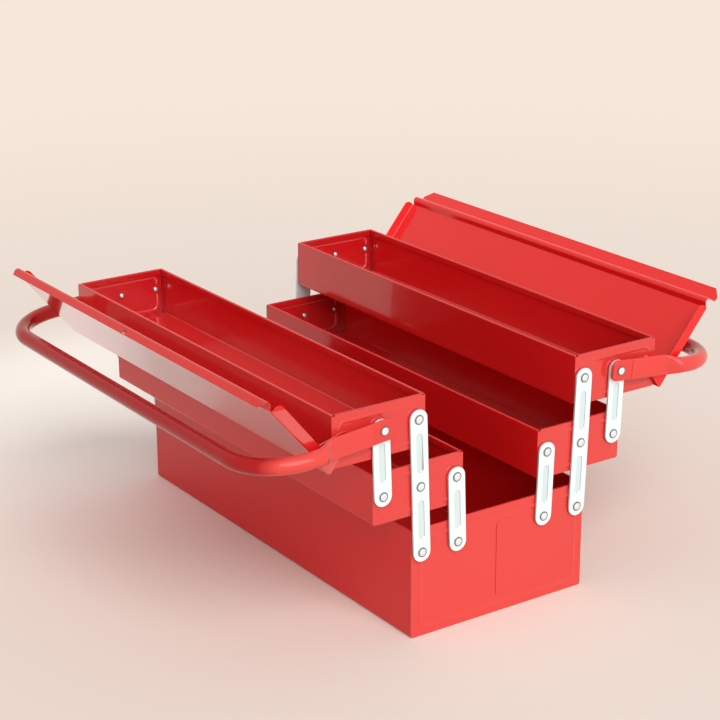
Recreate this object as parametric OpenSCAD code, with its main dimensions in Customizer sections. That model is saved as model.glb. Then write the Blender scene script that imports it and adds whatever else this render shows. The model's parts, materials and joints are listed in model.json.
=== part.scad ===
// Cantilever tool box in painted sheet steel: a base box carries two banks of two trays on riveted links,
// and each top tray carries a hinged lid and a folding tube handle.
// It is drawn open. X runs along the length, Z is up, and the origin lies under the middle of the base.
// One bank is drawn on the back, the +Y side, and the front bank is its mirror image.

/* [Box] */
// Length of the base and of the trays over their end plates
box_length = 472; // [300:1:700]
// Width of the base
base_width = 200; // [170:1:260]
// Height of the base
base_height = 107; // [80:1:160]
// Thickness of the steel sheet
sheet = 1; // [0.8:0.1:1.4]
// Outer radius of the long bends along the bottoms
bend_radius = 2.5; // [2:0.1:5]
// Depth of the folded hems along the rims
hem_drop = 5; // [3:0.5:8]
// Gap inside a folded hem
hem_gap = 0.8; // [0.4:0.1:1.6]
// Length of the welded flanges of an end plate
flange = 10; // [6:1:16]

/* [Trays] */
// Height of a tray
tray_height = 49; // [40:1:65]
// Gap between the closed trays at the middle of the box, from the middle to one tray
middle_gap = 0.75; // [0.5:0.05:2]
// How far the closed trays stand inside the sides of the base
side_step = 0.75; // [0:0.05:3]
// Gap under each closed tray
stack_gap = 0.75; // [0.5:0.05:2]

/* [Links] */
// Distance from a rim down to its rivets
pivot_drop = 22; // [16:1:26]
// Distance from a tray wall to its nearest rivet
pivot_inset = 9; // [8:0.5:14]
// Lean of the open links past upright, in degrees
open_lean = 2; // [0:0.5:6]
// Width of a link
link_width = 18.5; // [14:0.5:19]
// Thickness of a link
link_thick = 2; // [1.4:0.1:3]
// Length of the groove pressed into a link between two rivets
groove_length = 37; // [20:1:40]
// Width of the groove
groove_width = 6.6; // [4:0.2:9]
// Depth of the groove
groove_depth = 0.8; // [0.3:0.1:1.2]

/* [Rivets] */
// Diameter of a rivet's shank
rivet_d = 5; // [4:0.1:6]
// Diameter of a rivet's outer head
head_d = 9; // [8:0.2:11]
// Height of a rivet's outer head
head_h = 1.6; // [1:0.1:2.4]
// Width of the flat rim round a head's dome
head_rim = 0.8; // [0.4:0.1:1.2]
// Diameter of the dimple in a head
dimple_d = 2.4; // [1:0.2:3]
// Diameter of the upset tail inside a tray
tail_d = 6.4; // [6.2:0.1:9]
// Height of the tail
tail_h = 1.6; // [1:0.1:2.5]
// Height of the low heads that hold the lids
low_head_h = 0.8; // [0.6:0.1:1]
// Diameter of the spacers
spacer_d = 10; // [9:0.5:12]
// Thickness of the spacers under the links
spacer_thick = 1; // [0.8:0.1:2]

/* [Lids] */
// Lean of an open lid away from upright, in degrees
lid_lean = 39.5; // [30:0.5:50]
// How far a closed lid dips towards the middle, in degrees
lid_dip = 1.2; // [0:0.1:1.6]
// Height of a closed lid's outer face over the rim of its tray
lid_headroom = 8; // [7.6:0.1:12]
// How far a closed lid stands out past the wall of its tray
lid_edge = 4.5; // [1:0.5:8]
// Width of the hem folded inside the lid's outer edge
lid_hem = 6; // [4:0.5:10]
// Depth of the lid's end flaps
flap_depth = 11; // [9:0.5:12]
// Radius of the flap's outer corner
flap_corner = 6; // [3:0.5:8]
// Radius of the ear round the lid's rivet
ear_radius = 7.2; // [6:0.1:8]
// Height above the rivet where the ear runs into the flap's edge
ear_top = 16; // [10:0.5:24]
// Length of the step down into the valley beside the lip
valley_step = 4.6; // [3:0.1:5.4]
// Radius of the valley's round bottom, at the middle of the sheet
valley_radius = 3.6; // [2.5:0.1:4.5]
// Height of the front lid's upright lip beyond the valley
lip_height = 6.5; // [5.5:0.5:9]
// Lean of the lip towards the middle, in degrees
lip_lean = 10; // [4:1:16]
// Gap from the middle of the box to a closed lip
lip_gap = 2.5; // [2:0.1:5]
// How much higher the back lid's lip stands, to carry a cover over the front one
cover_lift = 1; // [1:0.1:3]
// Width of the cover, from the back lid's lip
cover_width = 13.4; // [11:0.2:15]
// Slope of the cover up towards its free edge, in degrees
cover_tilt = 10.5; // [8:0.5:16]
// Radius of the fold between the back lip and the cover, at the middle of the sheet
fold_radius = 1.5; // [1:0.1:2.5]
// Size of the cut corners of the front lip
lip_chamfer = 5; // [3:0.5:5]
// Size of the cut corners of the cover
cover_chamfer = 9; // [4:0.5:10]
// Length of the padlock slot in the lip
padlock_length = 7; // [6:0.5:12]
// Height of the padlock slot
padlock_height = 4.5; // [3:0.5:5]
// Corner radius of the padlock slot
padlock_corner = 1; // [0.5:0.1:1.4]

/* [Handles] */
// How much further than the width of a tray the grip stands from the handle's rivets
handle_extra = 29.5; // [24:0.5:40]
// Outer diameter of the handle tube
tube_d = 15.4; // [12:0.1:18]
// Wall of the handle tube
tube_wall = 1.2; // [0.8:0.1:1.4]
// Width of the flattened strap
strap_width = 20.4; // [16:0.2:24]
// Thickness of the strap
strap_thick = 3.4; // [3:0.1:5]
// How far the strap reaches back past its rivet
tab_length = 9.5; // [8:0.5:12]
// Corner radius of the strap's end
tab_corner = 5; // [2:0.5:7]
// Length of the coined seat round the rivet, beyond the rivet
coin_length = 13.4; // [8:0.2:18]
// Depth of the coined seat
coin_depth = 0.8; // [0.4:0.1:1.2]
// Length over which the strap swells into the tube
swage_length = 15; // [8:1:24]
// Straight tube between the swage and the bend
arm_straight = 2.5; // [1:0.5:12]
// Radius of the handle's bends, at the middle of the tube
handle_bend = 55; // [30:1:58]
// Droop of the open handle below level, in degrees
handle_droop = 5.5; // [0:0.5:12]

/* [Pressings] */
// Width of the bead pressed round an end plate
bead_width = 4.5; // [3:0.1:6]
// Height of the bead
bead_height = 0.7; // [0.4:0.05:0.8]
// Distance from the edges of the base's end plates to the middle of the bead
base_bead_inset = 10; // [7:0.5:14]
// Distance from the sides and the rim of a tray to the middle of its bead
tray_bead_inset = 8; // [7:0.5:9]
// Distance from the bottom of a tray to the middle of its bead
tray_bead_floor = 6; // [5.5:0.5:10]
// Corner radius of the bead, at its middle
bead_corner = 6; // [4:0.5:8]
// Width of the upright rib in the base's end plates
rib_width = 6.5; // [5:0.5:12]
// Distance from the base's bottom and rim to the rib
rib_margin = 16; // [14:0.5:24]
// Diameter of the weld spots on the flanges
weld_d = 4; // [2:0.2:6]
// Depth of the weld spots
weld_depth = 0.3; // [0.1:0.05:0.5]

/* [Hidden] */
$fn = 64;

// Radial clearance of a hole round its rivet
rivet_fit = 0.05;
// Radial clearance of a link's upper hole where the linkage closes on itself
loose_fit = 0.15;
// Side play between two layers that slide past each other
slip = 0.3;
// How far a cut runs past the surface that it opens
overrun = 0.5;
// Number of flats that round the lid's valley
valley_flats = 18;

// Share of a rivet head's height taken by its rim and by its dimple
rim_share = 0.3;
dimple_share = 0.2;

// Share of the ear's radius that its straight sides aim at
ear_share = 0.995;

red = [0.80, 0.11, 0.10];
zinc = [0.80, 0.84, 0.86];
bright = [0.88, 0.89, 0.90];

// Widths and pivots, with w measured from the middle of the box to one side
tray_width = base_width / 2 - middle_gap - side_step;
pivot_span = tray_width / 2 - pivot_inset;
base_outer_w = base_width / 2 - side_step - pivot_inset;
base_inner_w = base_outer_w - pivot_span;
base_pivot_z = base_height - pivot_drop;
tray_pivot_h = tray_height - pivot_drop;

// A link's stage carries a tray from its closed place over the rim below to its open one
closed_rise = tray_height + stack_gap;
stage = sqrt(pow(pivot_span, 2) + pow(closed_rise, 2));
stage_out = stage * sin(open_lean);
stage_up = stage * cos(open_lean);

// Inner wall and bottom of the open trays
mid_w = base_outer_w + stage_out - tray_width / 2;
mid_z = base_pivot_z + stage_up - tray_pivot_h;
top_w = base_outer_w + 2 * stage_out - pivot_inset;
top_z = mid_z + stage_up;

// Layers along X, from the end plates outwards
plate_face = box_length / 2;
link_in = spacer_thick + slip;
link_out = link_in + link_thick;
flap_in = link_out + slip;
flap_out = flap_in + sheet;
strap_in = flap_out + slip + low_head_h + slip;
strap_out = strap_in + strap_thick;
tube_x = plate_face + strap_in + tube_d / 2;

// Hems and beads
hem_radius = sheet + hem_gap / 2;
hem_foot = hem_radius + hem_drop;
hem_notch = 2 * hem_radius + hem_gap;
bead_radius = cap_radius(bead_width, bead_height);
bead_sink = bead_radius - bead_height;
pad_radius = spacer_d / 2 + bead_height;

// Lid section in lid coordinates: n square to the panel and away from the rivets, u along it to the lip
lid_pivot_w = tray_width + middle_gap - pivot_inset;
lid_rise = pivot_drop + lid_headroom;
lid_low = -pivot_inset - lid_edge;
panel_n = lid_rise - sheet / 2;
valley_n = panel_n - valley_step * sin(45);
centre_n = valley_n + valley_radius * sin(45);
lip_root_n = centre_n - valley_radius * sin(lip_lean);
lip_tip_n = lip_root_n + lip_height * cos(lip_lean);
lip_tip_u = (lid_pivot_w - lip_gap - lip_tip_n * sin(lid_dip)) / cos(lid_dip) - sheet / 2;
lip_root_u = lip_tip_u - lip_height * sin(lip_lean);
centre_u = lip_root_u - valley_radius * cos(lip_lean);
valley_u = centre_u - valley_radius * cos(45);
panel_u = valley_u - valley_step * cos(45);
lid_half = plate_face + flap_out;
lid_flat_half = lid_half - bend_radius;

// Cover of the back lid: the corner of its fold, the centre of the fold's bend and the straight run beyond
fold_turn = 90 - cover_tilt - lip_lean;
fold_run = fold_radius * tan(fold_turn / 2);
fold_corner = polar([lip_root_n, lip_root_u], lip_height + cover_lift, lip_lean);
fold_centre = polar(polar(fold_corner, -fold_run, lip_lean), fold_radius, 90 + lip_lean);
cover_run = cover_width - fold_run;

// Handle
handle_reach = tray_width + handle_extra;
strap_length = handle_reach - handle_bend - arm_straight - swage_length;
handle_w = top_w + tray_width / 2;
lid_w = top_w + tray_width - pivot_inset;
top_pivot_z = top_z + tray_pivot_h;

// Places of the rivets, as [w, z] in a tray's own frame and in the box's frame
tray_rivets = [for (w = [pivot_inset, tray_width / 2, tray_width - pivot_inset]) [w, tray_pivot_h]];
base_rivets_w = [-base_outer_w, -base_inner_w, base_inner_w, base_outer_w];

// Mirrors its children to the front bank
module bank(name) {
    if (name == "front") mirror([0, 1, 0]) children();
    else children();
}

// Puts children drawn in w, z and height over an end plate's outer face onto that end of the box
module on_end(end) {
    if (end == "left") mirror([1, 0, 0]) on_end("right") children();
    else translate([plate_face, 0, 0]) rotate([90, 0, 90]) children();
}

// Puts children on both ends
module on_both_ends() {
    on_end("right") children();
    on_end("left") children();
}

// Quarter of a ring in the corner at the origin, which opens towards +x and +y
module quarter_ring(outer, inner) {
    translate([outer, outer]) intersection() {
        difference() {
            circle(outer);
            circle(inner);
        }
        translate([-outer, -outer]) square(outer);
    }
}

// Section of a folded hem whose outer face lies on x = 0 and whose crest is at y = height
module hem_section(height, foot) {
    crest = height - hem_radius;
    translate([0, foot]) square([sheet, crest - foot]);
    translate([2 * hem_radius - sheet, height - hem_foot]) square([sheet, hem_foot - hem_radius]);
    translate([hem_radius, crest]) intersection() {
        difference() {
            circle(hem_radius);
            circle(hem_radius - sheet);
        }
        translate([-hem_radius, 0]) square([2 * hem_radius, hem_radius]);
    }
}

// Section of a pan: a floor, two long bends and two hemmed walls
module pan_section(width, height) {
    translate([bend_radius, 0]) square([width - 2 * bend_radius, sheet]);
    quarter_ring(bend_radius, bend_radius - sheet);
    hem_section(height, bend_radius);
    translate([width, 0]) mirror([1, 0]) {
        quarter_ring(bend_radius, bend_radius - sheet);
        hem_section(height, bend_radius);
    }
}

module pan(width, height) {
    length = box_length - 2 * sheet;
    translate([-length / 2, 0, 0]) rotate([90, 0, 90]) linear_extrude(length) pan_section(width, height);
}

// Outline of an end plate, with its bottom corners rounded like the pan's bends
module plate_outline(width, height) {
    translate([bend_radius, 0]) square([width - 2 * bend_radius, height]);
    translate([0, bend_radius]) square([width, height - bend_radius]);
    for (x = [bend_radius, width - bend_radius]) translate([x, bend_radius]) circle(bend_radius);
}

// Section of the bead: x runs across it and y out of the plate
module bead_section(radius, floor_y) {
    intersection() {
        translate([0, -bead_sink]) circle(radius);
        translate([-radius, floor_y]) square([2 * radius, radius]);
    }
}

// Sweeps a section round a rectangle with rounded corners, given by its middle line
module sweep_round(width, height, corner) {
    for (side = [0, 1]) translate([side * width, side * height, 0]) rotate([0, 0, side * 180]) {
        translate([corner, 0, 0]) rotate([90, 0, 90]) linear_extrude(width - 2 * corner) children();
        translate([0, height - corner, 0]) rotate([90, 0, 0]) linear_extrude(height - 2 * corner) children();
        translate([corner, corner, 0]) rotate([0, 0, 180]) rotate_extrude(angle = 90)
            translate([corner, 0]) children();
        translate([width - corner, corner, 0]) rotate([0, 0, 270]) rotate_extrude(angle = 90)
            translate([corner, 0]) children();
    }
}

// Bead round an end plate, left flat at its rivets
module bead_ring(width, height, rivets, inset, low, radius, floor_y) {
    difference() {
        translate([inset, low, 0]) sweep_round(width - 2 * inset, height - inset - low, bead_corner)
            bead_section(radius, floor_y);
        for (p = rivets) translate([p[0], p[1], -bead_width]) cylinder(h = 2 * bead_width, r = pad_radius);
    }
}

// Pressed end plate with a hemmed rim, welded flanges, a bead and rivet holes
module end_plate(width, height, rivets, inset, low) {
    flange_top = height - hem_foot - hem_gap;
    difference() {
        union() {
            translate([0, 0, -sheet]) linear_extrude(sheet) plate_outline(width, height - hem_radius);
            translate([hem_notch, 0, 0]) rotate([0, 90, 0])
                linear_extrude(width - 2 * hem_notch) hem_section(height, height - hem_foot);
            for (w = [sheet, width - 2 * sheet]) translate([w, bend_radius, -sheet - flange])
                cube([sheet, flange_top - bend_radius, flange + sheet / 2]);
            translate([bend_radius, sheet, -sheet - flange])
                cube([width - 2 * bend_radius, sheet, flange + sheet / 2]);
            bead_ring(width, height, rivets, inset, low, bead_radius, -sheet / 2);
        }
        bead_ring(width, height, rivets, inset, low, bead_radius - sheet, -sheet - overrun);
        for (p = rivets) translate([p[0], p[1], -sheet - overrun])
            cylinder(h = sheet + 2 * overrun, r = rivet_d / 2 + rivet_fit);
        for (side = [0, 1]) translate([side * width, height - pivot_drop, -sheet - flange / 2])
            mirror([side, 0, 0]) translate([2 * sheet - weld_depth, 0, 0]) rotate([0, 90, 0])
                cylinder(h = weld_depth + overrun, d = weld_d);
    }
}

// Radius of the circle whose cap has the given width and height
function cap_radius(width, height) = (pow(width / 2, 2) + pow(height, 2)) / (2 * height);

// Cap of a circle that rises from y = 0 to y = height, right half only
module half_cap(width, height) {
    intersection() {
        translate([0, height - cap_radius(width, height)]) circle(cap_radius(width, height));
        square([width / 2, height]);
    }
}

// Rivet along z: its tail lies behind the plate, and its head outside the layer whose face is at z = seat
module rivet(seat, head_height) {
    rim = head_height * rim_share;
    dimple = head_height * dimple_share;
    rotate_extrude() difference() {
        union() {
            translate([0, -sheet - rim]) square([rivet_d / 2, seat + sheet + 2 * rim]);
            translate([0, seat]) square([head_d / 2, rim]);
            translate([0, seat + rim]) half_cap(head_d - 2 * head_rim, head_height - rim);
            translate([0, -sheet]) mirror([0, 1]) half_cap(tail_d, tail_h);
        }
        translate([0, seat + head_height - dimple + cap_radius(dimple_d, dimple)])
            circle(cap_radius(dimple_d, dimple));
    }
}

// Ring round a rivet from z = low to z = high
module spacer(low, high) {
    translate([0, 0, low]) difference() {
        cylinder(h = high - low, d = spacer_d);
        translate([0, 0, -overrun]) cylinder(h = high - low + 2 * overrun, r = rivet_d / 2 + rivet_fit);
    }
}

// Outline of a link or groove with round ends, from the origin up
module slot_outline(length, width) {
    translate([-width / 2, 0]) square([width, length]);
    circle(d = width);
    translate([0, length]) circle(d = width);
}

// Link with its lowest rivet at the origin, leaning outwards; the top hole may be loose
module link(stages, top_fit) {
    groove_run = groove_length - groove_width;
    rotate([0, 0, -open_lean]) translate([0, 0, link_in]) difference() {
        linear_extrude(link_thick) slot_outline(stages * stage, link_width);
        for (i = [0 : stages]) translate([0, i * stage, -overrun])
            cylinder(h = link_thick + 2 * overrun, r = rivet_d / 2 + (i == stages ? top_fit : rivet_fit));
        for (i = [1 : stages]) translate([0, i * stage - (stage + groove_run) / 2, link_thick - groove_depth])
            linear_extrude(groove_depth + overrun) slot_outline(groove_run, groove_width);
    }
}

// Base
module base_shell() {
    color(red) translate([0, -base_width / 2, 0]) pan(base_width, base_height);
}

module base_end(end) {
    rivets = [for (w = base_rivets_w) [w + base_width / 2, base_pivot_z]];
    rib_low = rib_margin + rib_width / 2;
    rib_run = base_height - 2 * rib_low;
    color(red) on_end(end) translate([-base_width / 2, 0, 0]) difference() {
        union() {
            end_plate(base_width, base_height, rivets, base_bead_inset, base_bead_inset);
            translate([base_width / 2, rib_low, -sheet / 2])
                linear_extrude(sheet / 2 + bead_height) slot_outline(rib_run, rib_width);
        }
        translate([base_width / 2, rib_low, -sheet - overrun])
            linear_extrude(overrun + bead_height) slot_outline(rib_run, rib_width - 2 * sheet);
    }
}

module base_rivets() {
    color(bright) on_both_ends() for (w = base_rivets_w)
        translate([w, base_pivot_z, 0]) rivet(link_out + slip, head_h);
}

module base_spacers() {
    color(zinc) on_both_ends() for (w = base_rivets_w)
        translate([w, base_pivot_z, 0]) spacer(0, spacer_thick);
}

// Trays
module tray_pan(w, z) {
    color(red) translate([0, w, z]) pan(tray_width, tray_height);
}

module tray_end(w, z, end) {
    color(red) on_end(end) translate([w, z, 0])
        end_plate(tray_width, tray_height, tray_rivets, tray_bead_inset, tray_bead_floor);
}

module mid_tray_rivets() {
    color(bright) on_both_ends() for (p = tray_rivets)
        translate([mid_w + p[0], mid_z + p[1], 0]) rivet(link_out + slip, head_h);
}

module mid_tray_spacers() {
    color(zinc) on_both_ends() for (p = tray_rivets)
        translate([mid_w + p[0], mid_z + p[1], 0]) spacer(0, spacer_thick);
}

module top_tray_rivets() {
    color(bright) on_both_ends() translate([top_w + pivot_inset, top_pivot_z, 0])
        rivet(link_out + slip, head_h);
}

module handle_rivets() {
    color(bright) on_both_ends() translate([handle_w, top_pivot_z, 0])
        rivet(strap_out - coin_depth + slip, head_h);
}

module lid_rivets() {
    color(bright) on_both_ends() translate([lid_w, top_pivot_z, 0]) rivet(flap_out + slip, low_head_h);
}

// Spacers under the links and the lid's ears, and washers between the upper links and the handle
module top_tray_spacers() {
    color(zinc) on_both_ends() {
        for (w = [top_w + pivot_inset, handle_w]) translate([w, top_pivot_z, 0]) spacer(0, spacer_thick);
        translate([handle_w, top_pivot_z, 0]) spacer(link_out + slip, strap_in - slip);
        translate([lid_w, top_pivot_z, 0]) spacer(0, flap_in - slip);
    }
}

// Links
module long_link(end) {
    color(zinc) on_end(end) translate([base_outer_w, base_pivot_z, 0]) link(2, rivet_fit);
}

module lower_link(end) {
    color(zinc) on_end(end) translate([base_inner_w, base_pivot_z, 0]) link(1, loose_fit);
}

module upper_link(end) {
    color(zinc) on_end(end) translate([mid_w + tray_width - pivot_inset, mid_z + tray_pivot_h, 0])
        link(1, loose_fit);
}

// Point at a distance from c in the direction of angle a
function polar(c, r, a) = [c[0] + r * cos(a), c[1] + r * sin(a)];

// Points round c from angle a to angle b
function arc(c, r, a, b) = [for (i = [0 : valley_flats]) polar(c, r, a + (b - a) * i / valley_flats)];

// End of the front lid's lip, on the side of the sheet that faces the middle and then on the other
function lip_end() = [for (side = [1, -1])
    polar(polar([lip_root_n, lip_root_u], side * sheet / 2, 90 + lip_lean), lip_height, lip_lean)];

// One face of the fold above the back lid's lip, and the end of that face at the cover's free edge
function fold_face(r) = arc(fold_centre, r, lip_lean - 90, -cover_tilt);
function cover_end(r) = polar(polar(fold_centre, r, -cover_tilt), cover_run, 90 - cover_tilt);

// Outline of the fold and the cover, from one face of the back lid's lip round to the other
function cover_outline() = concat(
    fold_face(fold_radius - sheet / 2),
    [cover_end(fold_radius - sheet / 2), cover_end(fold_radius + sheet / 2)],
    [for (i = [valley_flats : -1 : 0]) fold_face(fold_radius + sheet / 2)[i]]
);

// Section of a lid's free edge: the end of the panel, the step into the valley, its bottom and the lip's end
module lip_section(end) {
    bend = [panel_n, panel_u];
    centre = [centre_n, centre_u];
    mitre = sheet / 2 / cos(22.5);
    root = 90 + lip_lean;
    polygon(concat(
        [[lid_rise - sheet, panel_u - lid_hem], polar(bend, mitre, 202.5)],
        arc(centre, valley_radius + sheet / 2, 225, root),
        end,
        arc(centre, valley_radius - sheet / 2, root, 225),
        [polar(bend, mitre, 22.5), [lid_rise, panel_u - lid_hem]]
    ));
}

// Section of the panel across X, bent down into a flap at each end
module panel_section() {
    translate([-lid_flat_half, lid_rise - sheet]) square([2 * lid_flat_half, sheet]);
    for (side = [0, 1]) mirror([side, 0]) {
        translate([-lid_half, lid_rise]) mirror([0, 1]) quarter_ring(bend_radius, bend_radius - sheet);
        translate([-lid_half, lid_rise - bend_radius - overrun]) square([sheet, overrun]);
    }
}

// Direction in which a tangent from p touches a circle of radius r round the origin, on the side of turn
function touch_angle(p, r, turn) = atan2(p[1], p[0]) + turn * acos(r / norm(p));
function touch(p, r, turn) = [r * cos(touch_angle(p, r, turn)), r * sin(touch_angle(p, r, turn))];

// Outline of an end flap: a strip along the panel with a rounded corner, and an ear round the rivet
module flap_outline() {
    strip_n = lid_rise - flap_depth;
    bend_n = lid_rise - bend_radius;
    low = [bend_n - overrun, lid_low];
    high = [strip_n, ear_top];
    corner_u = panel_u - flap_corner;
    aim = ear_radius * ear_share;
    translate([strip_n, 0]) square([bend_n - strip_n, corner_u]);
    translate([strip_n + flap_corner, 0]) square([bend_n - strip_n - flap_corner, panel_u]);
    translate([strip_n + flap_corner, corner_u]) intersection() {
        circle(flap_corner);
        translate([-flap_corner, 0]) square(flap_corner);
    }
    polygon([
        low, [bend_n, lid_low], [bend_n, ear_top], high,
        touch(high, aim, 1), [0, 0], touch(low, aim, -1)
    ]);
    circle(ear_radius);
}

// Puts children drawn in the plane of a lip or cover, with x along the box and y away from its root, onto it
module on_edge(x, root, lean) {
    translate([x, root[0], root[1]]) rotate([lean, 0, 0]) translate([0, 0, -sheet])
        linear_extrude(2 * sheet) children();
}

// Corner cut off a lip or cover of the given width at its end, which lies at x = 0
module corner_cut(width, size) {
    polygon([
        [overrun, width - size - overrun], [overrun, width + overrun], [-size - overrun, width + overrun]
    ]);
}

module padlock_slot() {
    inner = [padlock_length - 2 * padlock_corner, padlock_height - 2 * padlock_corner];
    square([inner[0], padlock_height], center = true);
    square([padlock_length, inner[1]], center = true);
    for (i = [-0.5, 0.5], j = [-0.5, 0.5]) translate([i * inner[0], j * inner[1]]) circle(padlock_corner);
}

// Lid with its panel, flaps and lip; the back one has a cover that closes over the front one's lip
module lid(covered) {
    lip_root = [lip_root_n, lip_root_u];
    color(red) translate([0, lid_w, top_pivot_z]) rotate([-lid_lean, 0, 0]) difference() {
        union() {
            translate([0, 0, lid_low]) linear_extrude(panel_u - lid_low) panel_section();
            translate([-lid_flat_half, 0, 0]) rotate([90, 0, 90])
                linear_extrude(2 * lid_flat_half) lip_section(covered ? cover_outline() : lip_end());
            translate([-lid_flat_half, lid_rise - 2 * sheet, lid_low])
                cube([2 * lid_flat_half, sheet, lid_hem]);
            for (side = [0, 1]) mirror([side, 0, 0]) translate([lid_half - sheet, 0, 0])
                rotate([90, 0, 90]) linear_extrude(sheet) flap_outline();
        }
        for (side = [0, 1]) mirror([side, 0, 0]) {
            translate([lid_half - sheet - overrun, 0, 0]) rotate([0, 90, 0])
                cylinder(h = sheet + 2 * overrun, r = rivet_d / 2 + rivet_fit);
            if (covered) on_edge(lid_flat_half, fold_corner, 90 - cover_tilt) corner_cut(cover_width, cover_chamfer);
            else on_edge(lid_flat_half, lip_root, lip_lean) corner_cut(lip_height, lip_chamfer);
        }
        on_edge(0, lip_root, lip_lean) translate([0, lip_height / 2]) padlock_slot();
    }
}

// Section of the strap, across X and Z
module strap_section(thick, width) {
    square([thick, width - thick], center = true);
    for (side = [-1, 1]) translate([0, side * (width - thick) / 2]) circle(d = thick);
}

// Swells from the strap's section to the tube's, along Y
module swage(thick, width, diameter) {
    hull($fn = 32) {
        translate([strap_thick / 2, 0, 0]) rotate([-90, 0, 0])
            linear_extrude(overrun) strap_section(thick, width);
        translate([tube_d / 2, swage_length, 0]) rotate([-90, 0, 0]) cylinder(h = overrun, d = diameter);
    }
}

// Round arms, bends and grip, with the rivets on the X axis
module tube_run(diameter) {
    start = handle_reach - handle_bend - arm_straight;
    for (side = [0, 1]) mirror([side, 0, 0]) {
        translate([tube_x, start, 0]) rotate([-90, 0, 0]) cylinder(h = arm_straight, d = diameter);
        translate([tube_x - handle_bend, start + arm_straight, 0]) rotate_extrude(angle = 90)
            translate([handle_bend, 0]) circle(d = diameter);
    }
    translate([handle_bend - tube_x, handle_reach, 0]) rotate([0, 90, 0])
        cylinder(h = 2 * (tube_x - handle_bend), d = diameter);
}

// Flattened end of one arm, with a rounded end and a coined seat round its rivet
module strap() {
    difference() {
        translate([strap_thick / 2, -tab_length, 0]) rotate([-90, 0, 0])
            linear_extrude(tab_length + strap_length + overrun) strap_section(strap_thick, strap_width);
        translate([strap_thick - coin_depth, -tab_length - overrun, -strap_width])
            cube([coin_depth + overrun, tab_length + coin_length + overrun, 2 * strap_width]);
        for (side = [0, 1]) mirror([0, 0, side])
            translate([-overrun, tab_corner - tab_length, strap_width / 2 - tab_corner]) rotate([90, 0, 90])
                linear_extrude(strap_thick + 2 * overrun) difference() {
                    translate([-tab_corner - overrun, 0]) square(tab_corner + overrun);
                    circle(tab_corner);
                }
        translate([-overrun, 0, 0]) rotate([0, 90, 0])
            cylinder(h = strap_thick + 2 * overrun, r = rivet_d / 2 + rivet_fit);
    }
}

// Handle bent from one tube, drooping outwards from its rivets
module handle() {
    bore = tube_d - 2 * tube_wall;
    slit_thick = strap_thick - 2 * tube_wall;
    slit_width = strap_width - 2 * tube_wall;
    color(red) translate([0, handle_w, top_pivot_z]) rotate([-handle_droop, 0, 0]) difference() {
        union() {
            for (side = [0, 1]) mirror([side, 0, 0]) translate([plate_face + strap_in, 0, 0]) {
                strap();
                translate([0, strap_length, 0]) swage(strap_thick, strap_width, tube_d);
            }
            tube_run(tube_d);
        }
        for (side = [0, 1]) mirror([side, 0, 0]) translate([plate_face + strap_in, strap_length, 0])
            swage(slit_thick, slit_width, bore);
        tube_run(bore);
    }
}

base_shell();
base_end("right");  // base_end_right
base_end("left");  // base_end_left
base_rivets();
base_spacers();
bank("front") tray_pan(mid_w, mid_z);  // front_mid_tray_pan
bank("front") tray_end(mid_w, mid_z, "right");  // front_mid_tray_end_right
bank("front") tray_end(mid_w, mid_z, "left");  // front_mid_tray_end_left
bank("front") mid_tray_rivets();  // front_mid_tray_rivets
bank("front") mid_tray_spacers();  // front_mid_tray_spacers
bank("front") tray_pan(top_w, top_z);  // front_top_tray_pan
bank("front") tray_end(top_w, top_z, "right");  // front_top_tray_end_right
bank("front") tray_end(top_w, top_z, "left");  // front_top_tray_end_left
bank("front") top_tray_rivets();  // front_top_tray_rivets
bank("front") top_tray_spacers();  // front_top_tray_spacers
bank("front") handle_rivets();  // front_handle_rivets
bank("front") lid_rivets();  // front_lid_rivets
bank("front") long_link("right");  // front_long_link_right
bank("front") long_link("left");  // front_long_link_left
bank("front") lower_link("right");  // front_lower_link_right
bank("front") lower_link("left");  // front_lower_link_left
bank("front") upper_link("right");  // front_upper_link_right
bank("front") upper_link("left");  // front_upper_link_left
bank("front") lid(false);  // front_lid
bank("front") handle();  // front_handle
bank("back") tray_pan(mid_w, mid_z);  // back_mid_tray_pan
bank("back") tray_end(mid_w, mid_z, "right");  // back_mid_tray_end_right
bank("back") tray_end(mid_w, mid_z, "left");  // back_mid_tray_end_left
bank("back") mid_tray_rivets();  // back_mid_tray_rivets
bank("back") mid_tray_spacers();  // back_mid_tray_spacers
bank("back") tray_pan(top_w, top_z);  // back_top_tray_pan
bank("back") tray_end(top_w, top_z, "right");  // back_top_tray_end_right
bank("back") tray_end(top_w, top_z, "left");  // back_top_tray_end_left
bank("back") top_tray_rivets();  // back_top_tray_rivets
bank("back") top_tray_spacers();  // back_top_tray_spacers
bank("back") handle_rivets();  // back_handle_rivets
bank("back") lid_rivets();  // back_lid_rivets
bank("back") long_link("right");  // back_long_link_right
bank("back") long_link("left");  // back_long_link_left
bank("back") lower_link("right");  // back_lower_link_right
bank("back") lower_link("left");  // back_lower_link_left
bank("back") upper_link("right");  // back_upper_link_right
bank("back") upper_link("left");  // back_upper_link_left
bank("back") lid(true);  // back_lid
bank("back") handle();  // back_handle
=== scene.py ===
import json
import math

import bmesh
import bpy
from mathutils import Matrix, Vector


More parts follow.
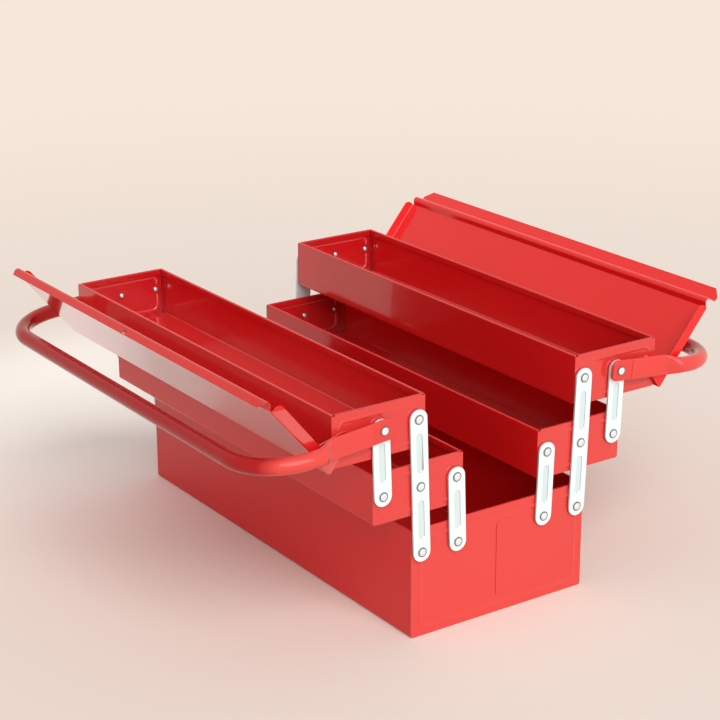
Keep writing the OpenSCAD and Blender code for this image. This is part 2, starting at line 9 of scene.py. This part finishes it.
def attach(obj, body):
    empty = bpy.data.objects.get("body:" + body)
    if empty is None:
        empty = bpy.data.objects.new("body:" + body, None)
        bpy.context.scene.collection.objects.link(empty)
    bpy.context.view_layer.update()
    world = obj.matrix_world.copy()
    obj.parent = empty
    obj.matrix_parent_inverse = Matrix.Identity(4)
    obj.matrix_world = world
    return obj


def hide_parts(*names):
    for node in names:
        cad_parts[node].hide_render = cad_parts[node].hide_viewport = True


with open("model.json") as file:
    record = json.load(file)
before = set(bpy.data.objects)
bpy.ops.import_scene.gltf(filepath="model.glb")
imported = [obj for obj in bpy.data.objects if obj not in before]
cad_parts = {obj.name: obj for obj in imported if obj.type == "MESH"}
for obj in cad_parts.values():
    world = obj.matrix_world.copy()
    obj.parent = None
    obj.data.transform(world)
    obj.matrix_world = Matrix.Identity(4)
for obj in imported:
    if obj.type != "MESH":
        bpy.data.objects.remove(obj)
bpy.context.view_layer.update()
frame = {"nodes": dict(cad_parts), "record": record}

nodes = frame["nodes"]
mm = 0.001
print("frame loaded with", len(nodes), "nodes")


# Camera, solved from the edges of the base and the trays

photoCamera = {
    "lens": 98.61,
    "sensor": 36.0,
    "clip": (0.05, 60.0),
    "place": (1.53882, -1.04655, 0.82772),
    "right": (0.56613958, 0.8242979, -0.00435238),
    "up": (-0.2681854, 0.1891812, 0.94460948),
    "back": (0.779463, -0.53361357, 0.32816763),
}


def placeCamera(values):
    data = bpy.data.cameras.new("photoCamera")
    data.lens = values["lens"]
    data.sensor_width = values["sensor"]
    data.clip_start, data.clip_end = values["clip"]
    camera = bpy.data.objects.new("photoCamera", data)
    bpy.context.scene.collection.objects.link(camera)
    turn = Matrix((values["right"], values["up"], values["back"])).transposed()
    camera.matrix_world = Matrix.Translation(values["place"]) @ turn.to_4x4()
    bpy.context.scene.camera = camera


placeCamera(photoCamera)
print("camera placed")


# Shader nodes: a Wire is a socket that can be used in sums, and a Finish makes the nodes of one material

class Wire:
    def __init__(self, finish, socket):
        self.finish = finish
        self.socket = socket

    def math(self, operation, first, second):
        return self.finish.node("ShaderNodeMath", {"operation": operation}, {0: first, 1: second})

    def __add__(self, other):
        return self.math("ADD", self, other)

    def __radd__(self, other):
        return self.math("ADD", other, self)

    def __sub__(self, other):
        return self.math("SUBTRACT", self, other)

    def __rsub__(self, other):
        return self.math("SUBTRACT", other, self)

    def __mul__(self, other):
        return self.math("MULTIPLY", self, other)

    def __rmul__(self, other):
        return self.math("MULTIPLY", other, self)

    def __abs__(self):
        return self.finish.node("ShaderNodeMath", {"operation": "ABSOLUTE"}, {0: self})


class Finish:
    def __init__(self, owner, output="ShaderNodeOutputMaterial"):
        self.owner = owner
        self.owner.use_nodes = True
        self.tree = owner.node_tree
        self.tree.nodes.clear()
        self.output = self.tree.nodes.new(output)

    # A dict of settings comes first, then one of values or links for the sockets
    def node(self, kind, settings=None, values=None, out=0):
        made = self.tree.nodes.new(kind)
        for key, value in (settings or {}).items():
            if key == "stops":
                self.setStops(made.color_ramp, value)
            else:
                setattr(made, key, value)
        for key, value in (values or {}).items():
            if isinstance(value, Wire):
                self.tree.links.new(value.socket, made.inputs[key])
            else:
                made.inputs[key].default_value = value
        return Wire(self, made.outputs[out])

    def setStops(self, ramp, stops):
        while len(ramp.elements) < len(stops):
            ramp.elements.new(1.0)
        for element, (place, colour) in zip(ramp.elements, stops):
            element.position = place
            element.color = (*colour, 1.0)

    def place(self):
        return self.node("ShaderNodeTexCoord", out="Object")

    def part(self, place, axis):
        return self.node("ShaderNodeSeparateXYZ", None, {"Vector": place}, out=axis)

    def noise(self, place, scale, detail):
        return self.node("ShaderNodeTexNoise", None, {"Vector": place, "Scale": scale, "Detail": detail})

    def bump(self, height):
        return self.node("ShaderNodeBump", None, {"Strength": 1.0, "Distance": 1.0, "Height": height})

    def spread(self, wire, start, end, settings=None, low=0.0, high=1.0):
        return self.node("ShaderNodeMapRange", settings, {
            "Value": wire, "From Min": start, "From Max": end, "To Min": low, "To Max": high,
        })

    def blendColours(self, factor, *colours):
        first, second = [c if isinstance(c, Wire) else (*c, 1.0) for c in colours]
        return self.node("ShaderNodeMix", {"data_type": "RGBA"}, {0: factor, 6: first, 7: second}, out=2)

    def surface(self, shader):
        self.tree.links.new(shader.socket, self.output.inputs["Surface"])
        return self.owner

    def principled(self, values):
        return self.surface(self.node("ShaderNodeBsdfPrincipled", None, values))


# Finishes

enamel = {
    "kinds": {
        "body": {"colour": (0.66, 0.010, 0.011), "specular": 0.3, "coatIor": 1.35},
        "lowerSheet": {"colour": (0.66, 0.009, 0.010), "specular": 0.15, "coatIor": 1.25},
        # End plates: their outside colour holds a painted pink sheen, and their inner faces get a darker
        # red as painted shade
        "endPlate": {
            "colour": (0.68, 0.035, 0.030), "inner": (0.47, 0.006, 0.009), "innerEnd": (235.2, 235.8),
            "specular": 0.5, "coatIor": 1.35,
        },
        "frontLid": {"colour": (0.66, 0.010, 0.011), "specular": 0.3, "coatIor": 2.2},
        # The back lid is painted a lighter red than the body: painted light on its faces
        "backLid": {"colour": (0.83, 0.012, 0.012), "specular": 0.3, "coatIor": 1.25},
        # Handle: the arms' colour holds a painted pink sheen, and the grip's deeper red is painted shade
        "handle": {
            "colour": (0.72, 0.065, 0.055), "inner": (0.36, 0.005, 0.008), "innerEnd": (232.0, 246.0),
            "specular": 0.12, "coatIor": 1.22,
        },
    },
    "shade": 0.91,
    "cloudSize": 9.0,
    "roughness": 0.2,
    "roughnessSpread": 0.08,
    "coat": 1.0,
    "coatRoughness": 0.06,
    "lipCoat": 0.12,
    "lipFoot": (252.6, 253.4),
    "peelSize": 900.0,
    "peelDepth": 0.000012,
    "waveSize": 16.0,
    "waveDepth": 0.0006,
}


def makeEnamel(kind, values):
    look = values["kinds"][kind]
    finish = Finish(bpy.data.materials.new(kind + "Enamel"))
    place = finish.place()
    cloud = finish.noise(place, values["cloudSize"], 3.0)
    peel = finish.noise(place, values["peelSize"], 1.0)
    wave = finish.noise(place, values["waveSize"], 1.0)
    shade = [values["shade"] * channel for channel in look["colour"]]
    paint = finish.blendColours(cloud, shade, look["colour"])
    if "inner" in look:  # painted shade: the handle's middle and the end plates' inner faces are a deeper red than what shows at the ends
        low, high = [at * mm for at in look["innerEnd"]]
        pastPaintedShade = finish.spread(abs(finish.part(place, "X")), low, high)
        paint = finish.blendColours(pastPaintedShade, look["inner"], paint)
    coat = values["coat"]
    if kind == "frontLid":  # the lip is less glossy than the panel
        low, high = [at * mm for at in values["lipFoot"]]
        coat = finish.spread(finish.part(place, "Z"), low, high, low=coat, high=values["lipCoat"])
    return finish.principled({
        "Base Color": paint,
        "Specular IOR Level": look["specular"],
        "Roughness": values["roughness"] + (cloud - 0.5) * values["roughnessSpread"],
        "Coat Weight": coat,
        "Coat Roughness": values["coatRoughness"],
        "Coat IOR": look["coatIor"],
        "Normal": finish.bump(peel * values["peelDepth"] + wave * values["waveDepth"]),
    })


# Levels are distances from the middle of the box in mm, each with its share of painted shade: a darker
# colour laid into the links' grooves and round the rivets' rims, where shade falls

zinc = {
    "colour": (0.86, 1.0, 1.0),
    "shade": (0.79, 0.95, 0.97),
    "metal": 0.38,
    "cloudSize": 60.0,
    "roughness": 0.34,
    "roughnessSpread": 0.12,
    "grainSize": 500.0,
    "grainDepth": 0.00001,
    # painted shade colour, darkest at the walls of the links' grooves
    "paintedShade": (0.22, 0.30, 0.32),
    "levels": (
        (237.0, 0.3), (238.44, 0.2), (238.6, 0.3), (238.75, 1.0),
        (239.0, 1.0), (239.25, 0.0), (240.0, 0.0),
    ),
}

rivetSteel = {
    "colour": (0.93, 0.98, 1.0),
    "shade": (0.78, 0.84, 0.88),
    "metal": 0.6,
    "cloudSize": 60.0,
    "roughness": 0.26,
    "roughnessSpread": 0.12,
    "grainSize": 500.0,
    "grainDepth": 0.00001,
    # painted shade: a dark ring round each head's rim and round the foot of each tail
    "paintedShade": (0.16, 0.17, 0.18),
    "tailEnd": 233.4,
    "tailRim": 234.4,
    "seats": {"_lid_rivets": 240.9, "_handle_rivets": 244.9, "_rivets": 239.6},
    "rims": {"_lid_rivets": 0.3, "_handle_rivets": 0.54, "_rivets": 0.54},
    "fade": 0.12,
}


def makeMetal(name, values, levels):
    finish = Finish(bpy.data.materials.new(name))
    place = finish.place()
    cloud = finish.noise(place, values["cloudSize"], 4.0)
    grain = finish.noise(place, values["grainSize"], 3.0)
    low, high = levels[0][0] * mm, levels[-1][0] * mm
    stops = [((at * mm - low) / (high - low), (paintedShade, paintedShade, paintedShade)) for at, paintedShade in levels]
    share = (abs(finish.part(place, "X")) - low) * (1.0 / (high - low))
    # painted shade, laid by distance from the middle of the box
    paintedShadeShare = finish.node("ShaderNodeValToRGB", {"stops": stops}, {0: share})
    plate = finish.blendColours(cloud, values["shade"], values["colour"])
    return finish.principled({
        "Base Color": finish.blendColours(paintedShadeShare, plate, values["paintedShade"]),
        "Metallic": values["metal"],
        "Roughness": values["roughness"] + (cloud - 0.5) * values["roughnessSpread"],
        "Normal": finish.bump(grain * values["grainDepth"]),
    })


def makeRivetSteel(kind, values):
    rim = values["seats"][kind] + values["rims"][kind]
    # The levels lay painted shade on the tail's foot and the head's rim, fading out onto the dome
    levels = ((values["tailEnd"], 0.0), (values["tailRim"], 1.0), (rim, 1.0), (rim + values["fade"], 0.0))
    return makeMetal("steel" + kind, values, levels)


handleEnamel = makeEnamel("handle", enamel)
zincPlate = makeMetal("zincPlate", zinc, zinc["levels"])
slotFinish = {"red_paint": makeEnamel("body", enamel), "zinc_plate": zincPlate}
endingFinish = {"front_lid": makeEnamel("frontLid", enamel), "back_lid": makeEnamel("backLid", enamel)}
endingFinish["base_shell"] = endingFinish["mid_tray_pan"] = makeEnamel("lowerSheet", enamel)
endingFinish.update(dict.fromkeys(("_end_right", "_end_left"), makeEnamel("endPlate", enamel)))
endingFinish.update({kind: makeRivetSteel(kind, rivetSteel) for kind in rivetSteel["seats"]})
print("finishes made")


def finishFor(name, slot):
    for ending, finish in endingFinish.items():
        if name.endswith(ending):
            return finish
    return slotFinish[slot]


# Frame pieces keep their shape, and get their finish and softly broken edges

softEdge = {
    "widths": {"red_paint": 0.25, "zinc_plate": 0.36, "rivet_steel": 0.1, "pressed": 0.36, "lid": 0.25},
    "unclamped": ("zinc_plate", "lid"),  # a clamp would stop at the narrow flats of their bends
    "segments": 2,
    "angle": 38.0,
    "weld": 0.002,
    "flatAngle": 0.4,
}


def edgeKind(name, slot):
    if "_end_" in name:
        return "pressed"
    return "lid" if name.endswith("_lid") else slot


def soften(piece, kind, values):
    weld = piece.modifiers.new("joinSeams", "WELD")
    weld.merge_threshold = values["weld"] * mm
    flat = piece.modifiers.new("joinFlats", "DECIMATE")
    flat.decimate_type = "DISSOLVE"
    flat.angle_limit = math.radians(values["flatAngle"])
    bevel = piece.modifiers.new("breakEdges", "BEVEL")
    bevel.width = values["widths"][kind] * mm
    bevel.segments = values["segments"]
    bevel.limit_method = "ANGLE"
    bevel.angle_limit = math.radians(values["angle"])
    bevel.use_clamp_overlap = kind not in values["unclamped"]
    piece.modifiers.new("evenNormals", "WEIGHTED_NORMAL")


for entry in frame["record"]["subparts"]:
    name, slot = entry["node"], entry["material_slot"]
    piece = nodes[name]
    piece.data.materials.clear()
    piece.data.materials.append(finishFor(name, slot))
    soften(piece, edgeKind(name, slot), softEdge)
print("frame pieces finished")


# Handles, each bent from one tube whose two ends are flattened into straps

handle = {
    "inner": 242.0,
    "strapWidth": 20.4,
    "strapThick": 3.4,
    "tabLength": 9.5,
    "tabCorner": 5.0,
    "tabRings": 6,
    "coinLength": 13.4,
    "coinDepth": 0.8,
    "coinStep": 0.3,
    "strapLength": 55.5,
    "swage": 15.0,
    "swageRings": 14,
    "swageEase": 1.3,
    "tube": 15.38,
    "reach": 128.0,
    "bend": 55.0,
    "bendRings": 28,
    "droop": 5.5,
    "hole": 5.1,
    "holeSides": 48,
    "sideSteps": 12,
    "sharpAngle": 35.0,
}


# A ring's points run round a flat strip with round edges; roundness 1 turns the strip into the tube

def stripPoint(step, width, thick, values):
    side, along = divmod(step, values["sideSteps"])
    share = along / values["sideSteps"]
    straight = (width - thick) / 2
    if side == 0:
        return thick / 2, straight * (2 * share - 1)
    if side == 2:
        return -thick / 2, straight * (1 - 2 * share)
    turn = math.pi * (share + (0 if side == 1 else 1))
    return thick / 2 * math.cos(turn), thick / 2 * math.sin(turn) + (straight if side == 1 else -straight)


def armRing(place, turn, width, thick, roundness, values):
    ring = []
    count = 4 * values["sideSteps"]
    for step in range(count):
        across, up = stripPoint(step, width, thick, values)
        angle = 2 * math.pi * (step / count - 1 / 8)
        across += roundness * (values["tube"] / 2 * math.cos(angle) - across)
        up += roundness * (values["tube"] / 2 * math.sin(angle) - up)
        ring.append((place[0] + across * math.cos(turn), place[1] + across * math.sin(turn), up))
    return ring


def armRings(values):
    rings = []
    width, thick, inner = values["strapWidth"], values["strapThick"], values["inner"]
    coined = thick - values["coinDepth"]
    corner = values["tabCorner"]
    for step in range(values["tabRings"] + 1):
        back = corner * (1 - math.cos(math.pi / 2 * step / values["tabRings"]))
        cut = corner - math.sqrt(corner ** 2 - (corner - back) ** 2)
        place = (inner + coined / 2, back - values["tabLength"])
        rings.append(armRing(place, 0, width - 2 * cut, coined, 0, values))
    rings.append(armRing((inner + coined / 2, values["coinLength"]), 0, width, coined, 0, values))
    end = values["coinLength"] + values["coinStep"]
    rings.append(armRing((inner + thick / 2, end), 0, width, thick, 0, values))
    for step in range(values["swageRings"] + 1):
        share = step / values["swageRings"]
        roundness = math.sin(math.pi / 2 * share) ** values["swageEase"]
        depth = thick + roundness * (values["tube"] - thick)
        place = (inner + depth / 2, values["strapLength"] + share * values["swage"])
        rings.append(armRing(place, 0, width, thick, roundness, values))
    middle = (inner + values["tube"] / 2 - values["bend"], values["reach"] - values["bend"])
    for step in range(values["bendRings"] + 1):
        turn = math.pi / 2 * step / values["bendRings"]
        place = (middle[0] + values["bend"] * math.cos(turn), middle[1] + values["bend"] * math.sin(turn))
        rings.append(armRing(place, turn, width, thick, 1, values))
    return rings


def drill(piece, diameter, length, place, sides):
    bpy.ops.mesh.primitive_cylinder_add(vertices=sides, radius=diameter / 2, depth=length, location=place,
                                        rotation=(0, math.pi / 2, 0))
    drillBit = bpy.context.object
    cut = piece.modifiers.new("rivetHole", "BOOLEAN")
    cut.operation = "DIFFERENCE"
    cut.solver = "EXACT"
    cut.object = drillBit
    drilled = bpy.data.meshes.new_from_object(piece.evaluated_get(bpy.context.evaluated_depsgraph_get()))
    piece.modifiers.clear()
    piece.data = drilled
    bpy.data.objects.remove(drillBit)


def makeHandle(bank, outwards, values):
    joint = next(j for j in frame["record"]["behaviour"]["joints"] if j["name"] == bank + "_handle_pivot")
    pivot = Vector(joint["pos_m"])
    droop = math.radians(values["droop"])
    rings = armRings(values)
    rings += [[(-x, r, up) for x, r, up in ring] for ring in reversed(rings)]
    mesh = bmesh.new()
    loops = []
    for ring in rings:
        loops.append([mesh.verts.new((
            x * mm,
            pivot.y + outwards * (r * math.cos(droop) + up * math.sin(droop)) * mm,
            pivot.z + (up * math.cos(droop) - r * math.sin(droop)) * mm,
        )) for x, r, up in ring])
    for near, far in zip(loops, loops[1:]):
        for step in range(len(near)):
            mesh.faces.new((near[step - 1], near[step], far[step], far[step - 1]))
    mesh.faces.new(loops[0])
    mesh.faces.new(loops[-1])
    bmesh.ops.recalc_face_normals(mesh, faces=mesh.faces)
    data = bpy.data.meshes.new(bank + "BentHandle")
    mesh.to_mesh(data)
    mesh.free()
    piece = bpy.data.objects.new(bank + "BentHandle", data)
    bpy.context.scene.collection.objects.link(piece)
    through = 3 * values["inner"] * mm
    drill(piece, values["hole"] * mm, through, (0, pivot.y, pivot.z), values["holeSides"])
    piece.data.materials.append(handleEnamel)
    for face in piece.data.polygons:
        face.use_smooth = True
    piece.data.set_sharp_from_angle(angle=math.radians(values["sharpAngle"]))
    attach(piece, bank + "_handle")
    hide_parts(bank + "_handle")


for bank, outwards in (("front", -1), ("back", 1)):
    makeHandle(bank, outwards, handle)
print("handles made")


# Floor, sky and sun

studio = {
    # The floor is painted darker near the box and paler further out: painted shade round the box
    "floorNear": (0.80, 0.70, 0.63),
    # A pale pool of painted light on the floor beside the box's far end, where the box's shadow falls
    "floorPaintedLight": (1.0, 0.92, 0.86),
    "paintedLightMiddle": (-0.42, 0.0, 0.0),
    "paintedLightBlend": (0.16, 0.44),
    "floorFar": (0.89, 0.765, 0.68),
    "floorBlend": (0.5, 2.4),
    "floorSize": 24.0,
    "floorRoughness": 0.8,
    "floorSpecular": 0.1,
    "pale": (0.88, 0.75, 0.66),
    "sky": (1.0, 0.985, 0.97),
    "skyStrength": 0.5,
    "sunFrom": (0.79, -0.18, 0.59),
    "sunStrength": 2.9,
    "sunSpread": 50.0,
}


def makeFloor(values):
    finish = Finish(bpy.data.materials.new("paleFloor"))
    place = finish.place()
    smooth = {"interpolation_type": "SMOOTHERSTEP"}
    reach = finish.node("ShaderNodeVectorMath", {"operation": "LENGTH"}, {0: place}, out="Value")
    # painted light: the floor is paler round a point beside the box's far end
    fromPaintedLight = finish.node("ShaderNodeVectorMath", {"operation": "DISTANCE"},
                        {0: place, 1: values["paintedLightMiddle"]}, out="Value")
    pastPaintedLight = finish.spread(fromPaintedLight, *values["paintedLightBlend"], settings=smooth)
    nearFloorWithPaintedLight = finish.blendColours(pastPaintedLight, values["floorPaintedLight"], values["floorNear"])
    # painted shade: darker floor near the box, paler far off
    away = finish.spread(reach, *values["floorBlend"], settings=smooth)
    material = finish.principled({
        "Base Color": finish.blendColours(away, nearFloorWithPaintedLight, values["floorFar"]),
        "Roughness": values["floorRoughness"],
        "Specular IOR Level": values["floorSpecular"],
    })
    mesh = bpy.data.meshes.new("floor")
    half = values["floorSize"] / 2
    corners = [(-half, -half, 0), (half, -half, 0), (half, half, 0), (-half, half, 0)]
    mesh.from_pydata(corners, [], [(0, 1, 2, 3)])
    mesh.materials.append(material)
    floor = bpy.data.objects.new("floor", mesh)
    bpy.context.scene.collection.objects.link(floor)


def makeSky(values):
    sky = Finish(bpy.data.worlds.new("studio"), "ShaderNodeOutputWorld")
    direct = sky.node("ShaderNodeLightPath", out="Is Camera Ray")
    mirrored = sky.node("ShaderNodeLightPath", out="Is Glossy Ray")
    seen = sky.node("ShaderNodeMath", {"operation": "MAXIMUM"}, {0: direct, 1: mirrored})
    glow = {"Color": (*values["sky"], 1.0), "Strength": values["skyStrength"]}
    light = sky.node("ShaderNodeBackground", None, glow)
    pale = sky.node("ShaderNodeBackground", None, {"Color": (*values["pale"], 1.0)})
    blend = sky.node("ShaderNodeMixShader", None, {0: seen, 1: light, 2: pale})
    bpy.context.scene.world = sky.surface(blend)


def makeSun(values):
    data = bpy.data.lights.new("keySun", "SUN")
    data.energy = values["sunStrength"]
    data.angle = math.radians(values["sunSpread"])
    sun = bpy.data.objects.new("keySun", data)
    bpy.context.scene.collection.objects.link(sun)
    sun.rotation_mode = "QUATERNION"
    sun.rotation_quaternion = (-Vector(values["sunFrom"])).to_track_quat("-Z", "Y")


makeFloor(studio)
makeSky(studio)
makeSun(studio)
bpy.context.scene.view_settings.view_transform = "Standard"
print("studio made")
